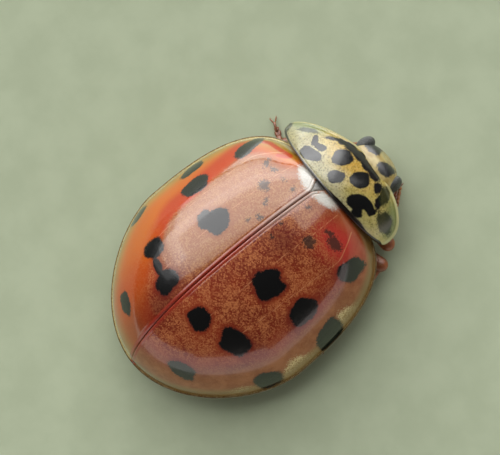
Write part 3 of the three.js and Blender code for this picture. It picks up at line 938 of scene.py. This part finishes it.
def comb_hair(hairs):
    """Gives each hair a small patch of the unwrap where its root stands, seen from above."""
    mesh = hairs.data
    low, high = (np.array(corner) for corner in cad_box)
    layer = mesh.uv_layers.new(name="OFBake")
    points = np.empty(len(mesh.vertices) * 3, np.float32)
    mesh.vertices.foreach_get("co", points)
    points = points.reshape(-1, 3)
    corners = np.empty(len(mesh.loops), np.int32)
    mesh.loops.foreach_get("vertex_index", corners)
    own = corners % HAIR_POINTS
    seat = (points[corners - own, :2] - low[:2]) / (high[:2] - low[:2])
    spread = np.stack([own % 4, own // 4], axis=-1) / 4 * 0.003
    layer.data.foreach_set("uv", (seat * 0.99 + spread).astype(np.float32).reshape(-1))


# ------------------------------------------------------------------ eyes


def eye(side, tree):
    """One eye: a close round mesh with a lens set on each of its corners."""
    word = "left" if side > 0 else "right"
    form = bmesh.new()
    bmesh.ops.create_icosphere(form, subdivisions=5, radius=1.0)
    centre = Vector(HEAD_AT) + HEAD_TURN @ Vector(EYE_PLACE * [side, 1, 1])
    if side < 0:
        centre += RIGHT_EYE_SHIFT
    for point in form.verts:
        local = Vector(np.array(point.co) * EYE_RADII)
        point.co = (centre + HEAD_TURN @ local) * MM
    mesh = bpy.data.meshes.new(f"eye_form_{word}")
    form.to_mesh(mesh)
    form.free()
    host = bpy.data.objects.new(f"eye_form_{word}", mesh)
    scene.collection.objects.link(host)
    run_tree(tree, host, f"eye_lenses_{word}", {"Lens Radius": EYE_LENS * MM}, [f"eye_{word}"])
    bpy.data.objects.remove(host)


def eye_finish():
    """Black compound eye: glassy lenses over dark pigment, greyer where the light rakes them."""
    material, tree, shader, body = finish("eye_lenses_black", 0.25, coat=1.0, coat_roughness=0.12)
    colour = mottled(tree, body, "#141716", "#2c302c", size=0.12, detail=2.0)
    feeds = scaled(body, 0.01, Detail=1.0, Roughness=0.5)
    dress(tree, shader, colour, node(tree, "ShaderNodeTexNoise", feeds, "Fac"), depth=0.0008)
    return material


# ------------------------------------------------------------------ antennae and mouth

# Points of the left antenna's line, out from the middle of the head.
ANTENNA = [
    (0.36, -2.92, 0.64),
    (0.52, -2.9, 0.6),
    (0.68, -2.76, 0.62),
    (0.85, -2.53, 0.66),
    (0.96, -2.22, 0.7),
]


def antenna(side, material):
    """Eleven segments: a stout root, a bead, a slender shaft and a club of three."""
    word = "left" if side > 0 else "right"
    path = [(HEAD_AT[0] + side * out, y, z) for out, y, z in ANTENNA]
    lengths = [0.17, 0.09, 0.11, 0.09, 0.08, 0.08, 0.07, 0.07, 0.11, 0.11, 0.12]
    widths = [0.055, 0.045, 0.032, 0.03, 0.03, 0.032, 0.036, 0.045, 0.075, 0.095, 0.08]
    ends = np.concatenate([[0], np.cumsum(lengths)]) / sum(lengths)
    parts = []
    for start, end, width in zip(ends, ends[1:], widths):
        line = curve_through(path, np.linspace(start, min(1.0, end + 0.012), 5))[0]
        parts.append(limb(line, [width * 0.72, width, width * 0.95], flat=0.85, rows=12, blunt=0.6))
    piece(f"antenna_segments_{word}", parts, material, [f"antenna_{word}"])


def mouth(material):
    """The lips, and on each side a jaw and two palps."""

    def at(side, *places):
        """Points of the mouth: out from its middle to that side, back and up."""
        return [HEAD_AT + [0, 0.1, 0] + [side * out, back, up] for out, back, up in places]

    # Lip: a broad plate with rounded corners, under the lip shield.
    upper, lower = at(1, (0, -0.37, -0.25), (0, -0.3, -0.34))
    parts = [
        egg(upper, (0.25, 0.09, 0.07), 16, 32, fullness=0.75),
        egg(lower, (0.2, 0.1, 0.06), 14, 28, fullness=0.8),
    ]
    for side in (1, -1):
        # Jaw: curved inwards to a tip under the lip.
        jaw = at(side, (0.27, -0.2, -0.3), (0.25, -0.36, -0.33), (0.06, -0.43, -0.34))
        parts.append(limb(jaw, [0.08, 0.07, 0.02], flat=0.7, sides=12, rows=16))
        # Palp: two round joints and a last one that widens like a hatchet.
        bends = (0.2, -0.16, -0.38), (0.26, -0.26, -0.39), (0.29, -0.32, -0.37), (0.26, -0.38, -0.34)
        joints = at(side, *bends)
        for a, b, radii in zip(joints, joints[1:], ([0.04, 0.05], [0.04, 0.055], [0.05, 0.08])):
            parts.append(limb([a, (a + b) / 2, b], radii, flat=0.6, sides=12, rows=12, blunt=0.7))
        feeler = at(side, (0.09, -0.3, -0.38), (0.13, -0.38, -0.39), (0.13, -0.44, -0.37))
        parts.append(limb(feeler, [0.03, 0.036, 0.028], sides=10, rows=12))
    piece("mouth_pieces", parts, material, ["mouthparts"])


# ------------------------------------------------------------------ legs

# Hip, knee, ankle and toe of each leg, seen from above.
LEGS = {
    "fore_left": [(0.3, -2.05), (1.0, -2.42), (1.47, -1.68), (1.96, -1.88)],
    "fore_right": [(-0.4, -2.1), (-1.4, -2.03), (-0.86, -2.48), (-0.6, -2.92)],
    "middle_left": [(0.4, -1.25), (1.48, -1.2), (1.72, -0.3), (1.93, 0.4)],
    "middle_right": [(-0.4, -1.22), (-1.62, -1.68), (-1.86, -0.5), (-2.08, 0.28)],
    "hind_left": [(0.36, -0.5), (1.34, 0.5), (1.18, 1.45), (1.48, 2.1)],
    "hind_right": [(-0.36, -0.5), (-1.38, 0.5), (-1.2, 1.45), (-1.5, 2.1)],
}


def unit(way):
    """The same way, one millimetre long."""
    return way / max(np.linalg.norm(way), 1e-9)


def claw(root, ahead, out):
    """One hooked claw with a tooth at its base, its tip on the ground."""
    tip = root + ahead * CLAW_REACH + out * 0.04
    tip[2] = 0.008
    bend = root + ahead * 0.075 + out * 0.038
    bend[2] = root[2] * 0.75 + 0.02
    tooth = root + ahead * 0.05 + out * 0.012
    tooth[2] = root[2] * 0.35
    return [
        limb([root, bend, tip], [0.015, 0.012, 0.004], sides=8, rows=12, floor=0.0),
        limb([root, (root + bend) / 2, tooth], [0.016, 0.014, 0.006], sides=8, rows=10, floor=0.0),
    ]


def leg(name, material):
    """One leg, drawn in: its hip, thigh, shin with two spurs, and foot with two claws."""
    hip, knee, ankle, toe = (np.array([*at, z]) for at, z in zip(LEGS[name], JOINT_HEIGHTS))
    thigh = unit(knee - hip)
    shin = unit(ankle - knee)
    knee_cap = knee + thigh * 0.14
    thigh_line = [hip + thigh * 0.12, (hip + knee_cap) / 2, knee_cap]
    shin_line = [knee + shin * 0.02, (knee + ankle) / 2 + [0, 0, 0.02], ankle]
    parts = [
        # Coxa and trochanter, set into the breast.
        egg(hip + [0, 0, 0.04], (0.2, 0.15, 0.15), 18, 24),
        egg(hip + thigh * 0.17, (0.11, 0.1, 0.1), 14, 20),
        # Thigh: a flattened spindle. Shin: slender at the knee, wider at the ankle.
        limb(thigh_line, [0.1, 0.16, 0.17, 0.155, 0.13], flat=0.78, sides=24, rows=40),
        limb(shin_line, [0.07, 0.085, 0.1, 0.11], flat=0.75, sides=18, rows=34, floor=0.0),
    ]
    foot = unit((toe - ankle) * [1, 1, 0])
    across = np.cross(foot, [0, 0, 1])
    reach = np.linalg.norm((toe - ankle)[:2])

    def at(share, z, aside=0.0):
        """A point of the foot: how far on its way to the toe, how high and how far aside."""
        return ankle * [1, 1, 0] + foot * reach * share + np.array([0, 0, z]) + across * aside

    # Foot: two padded joints with split soles, and the slender claw joint.
    joint = [at(0.02, 0.12), at(0.16, 0.1), at(0.34, 0.06)]
    parts.append(limb(joint, [0.04, 0.055, 0.065], flat=0.8, rows=18, floor=0.0))
    for lean in (1, -1):
        pad = [at(0.26, 0.06), at(0.42, 0.045, 0.02 * lean), at(0.56, 0.035, 0.03 * lean)]
        parts.append(limb(pad, [0.035, 0.045, 0.035], flat=0.7, sides=12, rows=14, floor=0.0))
        pad = [at(0.5, 0.08), at(0.6, 0.05, 0.015 * lean), at(0.68, 0.03, 0.028 * lean)]
        parts.append(limb(pad, [0.025, 0.034, 0.026], flat=0.7, sides=12, rows=12, floor=0.0))
    joint = [at(0.5, 0.09), at(0.72, 0.1), at(0.86, 0.065)]
    parts.append(limb(joint, [0.02, 0.024, 0.03], sides=12, rows=18, floor=0.0))
    for lean in (1, -1):
        parts += claw(at(0.86, 0.06, 0.02 * lean), foot, across * lean)
    # Two spurs at the shin's end.
    for lean in (1, -1):
        root = ankle - shin * 0.05 + across * 0.07 * lean
        spur = [root, root + shin * 0.06, root + shin * 0.12 + [0, 0, -0.02]]
        parts.append(limb(spur, [0.014, 0.011, 0.003], sides=8, rows=10, floor=0.0))
    nodes = [f"{bone}_{name}" for bone in ("femur", "tibia", "tarsus")]
    return piece(f"leg_{name}", parts, material, nodes)


# ------------------------------------------------------------------ underside


def belly_rows(y0, y1, count, inset, low, plates=0):
    """A body under the shell: flat-roofed, bellied below, in plates that lap over the next ones."""
    y = np.linspace(y0, y1, count)
    from_middle = np.abs(y - (y0 + y1) / 2) / ((y1 - y0) / 2)
    ends = np.sqrt(np.clip(1 - np.square(np.clip((from_middle - 0.9) / 0.1, 0, 1)), 0, 1))
    half = np.maximum(outline(y) - inset, 0.05) * (0.9 + 0.1 * ends)
    turn = np.arange(72) / 72 * 2 * np.pi
    across = np.sign(np.cos(turn)) * np.abs(np.cos(turn)) ** 0.8
    rise = np.sign(np.sin(turn)) * np.abs(np.sin(turn)) ** 0.8
    narrow = np.minimum(1.0, half / 0.8)
    drop = (low * ends * narrow)[:, None]
    roof = (0.55 * ends * narrow)[:, None]
    lap = -0.03 * ((y - y0) / (y1 - y0) * plates % 1.0)[:, None]
    height = BELLY_Z + np.where(rise > 0, rise * roof, rise * drop)
    height += np.where(rise < 0, lap * np.abs(rise), 0)
    return np.stack([across * half[:, None], np.broadcast_to(y[:, None], height.shape), height], axis=-1)


def abdomen(material):
    """Six plates below, each lapping over the one behind it."""
    part = sheet(belly_rows(-0.4, 2.82, count=180, inset=0.27, low=0.1, plates=6))
    return piece("abdomen_plates", [part], material, ["abdomen"])


def hind_breast(material):
    """The breast between the legs, with its keel, seams and flanks."""
    keel = [(0, -1.6, 0.47), (0, -1.0, 0.462), (0, -0.4, 0.47)]
    parts = [
        sheet(belly_rows(-1.7, -0.36, count=60, inset=0.3, low=0.13)),
        limb(keel, [0.03, 0.022, 0.03], flat=0.6, sides=10, rows=40),
    ]
    for side in (1, -1):
        seam = [(side * 0.3, -0.42, 0.47), (side * 1.0, -0.5, 0.5), (side * 1.7, -0.7, 0.57)]
        parts.append(limb(seam, [0.035, 0.03, 0.02], flat=0.6, sides=10, rows=30))
        flank = [(side * 1.2, -1.55, 0.54), (side * 1.55, -1.1, 0.54), (side * 1.72, -0.6, 0.55)]
        parts.append(limb(flank, [0.1, 0.13, 0.09], flat=0.6, rows=30))
    piece("hind_breast_plates", parts, material, ["hind_breast"])


def fore_breast(material):
    """The breast under the shield, with its keel."""
    ways = ball_grid(40, 72)
    angle = np.arctan2(ways[..., 1], ways[..., 0])
    reach = np.hypot(ways[..., 0], ways[..., 1]) * shield_reach(angle) * 0.78
    across, back = reach * np.cos(angle), reach * np.sin(angle)
    x, y = shield_place(across, back)
    roof = shield_top(across, back) - SHIELD_THICKNESS
    mid = (roof + 0.5) / 2
    z = mid + np.sign(ways[..., 2]) * (roof - mid) * np.power(np.abs(ways[..., 2]), 0.8)
    keel = [(-0.1, -2.6, 0.5), (-0.05, -2.2, 0.46), (0, -1.85, 0.5)]
    parts = [
        sheet(np.stack([x, y, z], axis=-1), caps=False),
        limb(keel, [0.06, 0.09, 0.07], flat=0.6, sides=12, rows=26),
    ]
    piece("fore_breast_plates", parts, material, ["fore_breast"])


# ------------------------------------------------------------------ the insect

case_finish = wing_case_finish()
for side in (1, -1):
    wing_case(side, case_finish)
shield(shield_finish())
scutellum(plate_finish("scutellum_chitin", "#4f4a44", "#7d776c", 0.4, 0.6))
head(head_finish())
lenses = facet_tree(eye_finish())
limb_finish = plate_finish("leg_chitin", "#643014", "#a2582a", 0.38, 0.5, 0.035, 0.003, flesh=0.08)
mouth(plate_finish("mouth_chitin", "#5a3012", "#a8682c", 0.38, 0.5))
antenna_finish = plate_finish("antenna_chitin", "#8a4a1a", "#c98a48", 0.42, 0.3, 0.02, 0.002)
for side in (1, -1):
    eye(side, lenses)
    antenna(side, antenna_finish)
legs = [leg(name, limb_finish) for name in LEGS]
under_finish = plate_finish("underside_chitin", "#24150e", "#5a3018", 0.42, 0.5, 0.05, 0.006)
belly_finish = plate_finish("abdomen_chitin", "#6a3214", "#a85c24", 0.42, 0.5, 0.05, 0.006)
belly = abdomen(belly_finish)
hind_breast(under_finish)
fore_breast(under_finish)

setae = hair_tree(plate_finish("setae_chitin", "#a07a44", "#d6b47a", 0.5, 0.0, 0.02, 0.0005))
for number, host in enumerate([*legs, belly]):
    on_leg = host is not belly
    values = {
        "Density": (110 if on_leg else 28) / MM**2,  # so many to a square millimetre
        "Length": (0.06 if on_leg else 0.07) * MM,
        "Thickness": HAIR_THICKNESS * MM,
        "Lean": 0.75,
        "Clearance": HAIR_CLEARANCE * MM,
        "Seed": 11 + number,
    }
    comb_hair(run_tree(setae, host, f"setae_{host.name}", values))


# ------------------------------------------------------------------ floor, light and camera


def floor():
    """A plain pale board under the insect, painted matt in a light sage, with glowing patches that only
    reflections see.
    """
    mesh = bpy.data.meshes.new("floor_board")
    mesh.from_pydata([(-0.4, -0.4, 0), (0.4, -0.4, 0), (0.4, 0.4, 0), (-0.4, 0.4, 0)], [], [(0, 1, 2, 3)])
    material, tree, shader, place = finish("floor_paint_matt", 0.9)
    colour = mottled(tree, place, "#a8b294", "#b0ba9c", size=0.8, low=0.3, high=0.7)
    tree.links.new(colour, shader.inputs["Base Color"])

    def ahead(angle):
        """Millimetres from the insect's middle, counted one way over the floor."""
        way = math.cos(math.radians(angle)) / MM, math.sin(math.radians(angle)) / MM, 0.0
        return node(tree, "ShaderNodeVectorMath", {0: place, 1: way}, "Value", operation="DOT_PRODUCT")

    # Glowing patches, whose light only the shell's polish mirrors, painted reflections: a wedge in
    # front of its left shoulder, brighter further out, and the open floor behind its right flank.
    wedge = ((ahead(-99.8), 1.4, 1.52), (ahead(32.2), 0.95, 1.07), (ahead(-25), 3, 12, 1.0, 3.6))
    patches = {0: fade(tree, *wedge), 1: fade(tree, (ahead(135), 8.3, 8.9, 0.0, 0.7))}
    feeds = {0: node(tree, "ShaderNodeMath", patches, operation="MAXIMUM")}
    feeds[1] = node(tree, "ShaderNodeLightPath", out="Is Glossy Ray")
    glow = node(tree, "ShaderNodeMath", feeds, operation="MULTIPLY")
    shader.inputs["Emission Color"].default_value = (1.0, 1.0, 1.0, 1.0)
    tree.links.new(glow, shader.inputs["Emission Strength"])
    mesh.materials.append(material)
    board = bpy.data.objects.new("floor_board", mesh)
    scene.collection.objects.link(board)


def softbox(name, azimuth, elevation, size, radiance, shift=(0, 0), colour="#ffffff", use="fill", far=0.3):
    """A flat lamp `far` metres off, square to a side and height in degrees, shifted in its plane.

    A "fill" lamp lights the surface, and a "shine" lamp is what its polish mirrors.
    """
    width, height = size
    lamp = bpy.data.lights.new(name, "AREA")
    lamp.shape = "RECTANGLE"
    lamp.size, lamp.size_y = width, height
    lamp.energy = radiance * math.pi * width * height
    lamp.color = hue(colour)[:3]
    a, e = math.radians(azimuth), math.radians(elevation)
    out = Vector((math.cos(a) * math.cos(e), math.sin(a) * math.cos(e), math.sin(e)))
    made = bpy.data.objects.new(name, lamp)
    right = Vector((0, 0, 1)).cross(out).normalized()
    made.location = out * far + right * shift[0] + out.cross(right) * shift[1]
    made.rotation_mode = "QUATERNION"
    made.rotation_quaternion = out.to_track_quat("Z", "Y")
    made.visible_glossy = use == "shine"
    made.visible_diffuse = use == "fill"
    scene.collection.objects.link(made)


def camera():
    """A long lens over the insect's right side, turned so that the head points up and right."""
    right = Vector((-0.624, -0.759, -0.187)).normalized()
    back = Vector((-0.222, -0.058, 0.973)).normalized()
    up = back.cross(right).normalized()
    right = up.cross(back).normalized()
    aim = (right * -0.2486 + up * 0.624) * MM
    distance = 0.12
    view_width = 9.488 * MM
    lens = bpy.data.cameras.new("long_lens")
    lens.sensor_width = 36.0
    lens.lens = lens.sensor_width * distance / view_width
    lens.clip_start, lens.clip_end = 0.001, 2.0
    made = bpy.data.objects.new("camera", lens)
    made.rotation_mode = "QUATERNION"
    made.rotation_quaternion = Matrix((right, up, back)).transposed().to_quaternion()
    made.location = aim + back * distance
    scene.collection.objects.link(made)
    scene.camera = made


def room_light():
    """Weak light from all round, darker where the shell's polish mirrors it."""
    world = bpy.data.worlds.new("room")
    world.use_nodes = True
    tree = world.node_tree
    shade = tree.nodes["Background"]
    mirrored = node(tree, "ShaderNodeLightPath", out="Is Glossy Ray")
    tree.links.new(lay(tree, "#eeeeea", ("#8c8880", mirrored)), shade.inputs["Color"])
    shade.inputs["Strength"].default_value = 0.2
    scene.world = world


floor()
softbox("key_softbox", -20, 50, (0.6, 0.3), 1.8, (-0.03, 0.045))
softbox("key_softbox_low", -20, 50, (0.465, 0.18), 4.0, (-0.1, -0.195))
softbox("rear_fill", 120, 12, (0.3, 0.08), 1.4)
softbox("right_fill", 190, 10, (0.3, 0.08), 1.9)
# The bright window: panes behind one another, whose light adds up towards its foot.
for pane, size, radiance, shift, far in (
    ("foot", (0.46, 0.13), 1.0, (-0.1, -0.09), 0.298),
    ("low", (0.46, 0.17), 2.1, (-0.1, -0.07), 0.302),
    ("middle", (0.485, 0.26), 0.7, (-0.0775, 0.02), 0.306),
    ("upper", (0.5, 0.32), 0.8, (-0.06, 0.06), 0.31),
    ("high", (0.55, 0.32), 1.7, (-0.025, 0.12), 0.314),
    ("side", (0.07, 0.2), 1.5, (0.165, 0.06), 0.3),
    ("edge", (0.1, 0.23), 0.8, (0.25, 0.085), 0.3),
):
    softbox(f"window_{pane}", -20, 30, size, radiance, shift, use="shine", far=far)
softbox("window_front", -84, 43, (0.19, 0.17), 1.7, use="shine")
for place, azimuth, height in (("rear", 98, 0.09), ("right_rear", 145, 0.07), ("right", 192, 0.045)):
    size, shift = (0.262, height), (0.0, height / 2)
    softbox(f"low_strip_{place}", azimuth, 0, size, 1.15, shift, "#ffece8", use="shine")
room_light()
camera()
scene.view_settings.view_transform = "Standard"
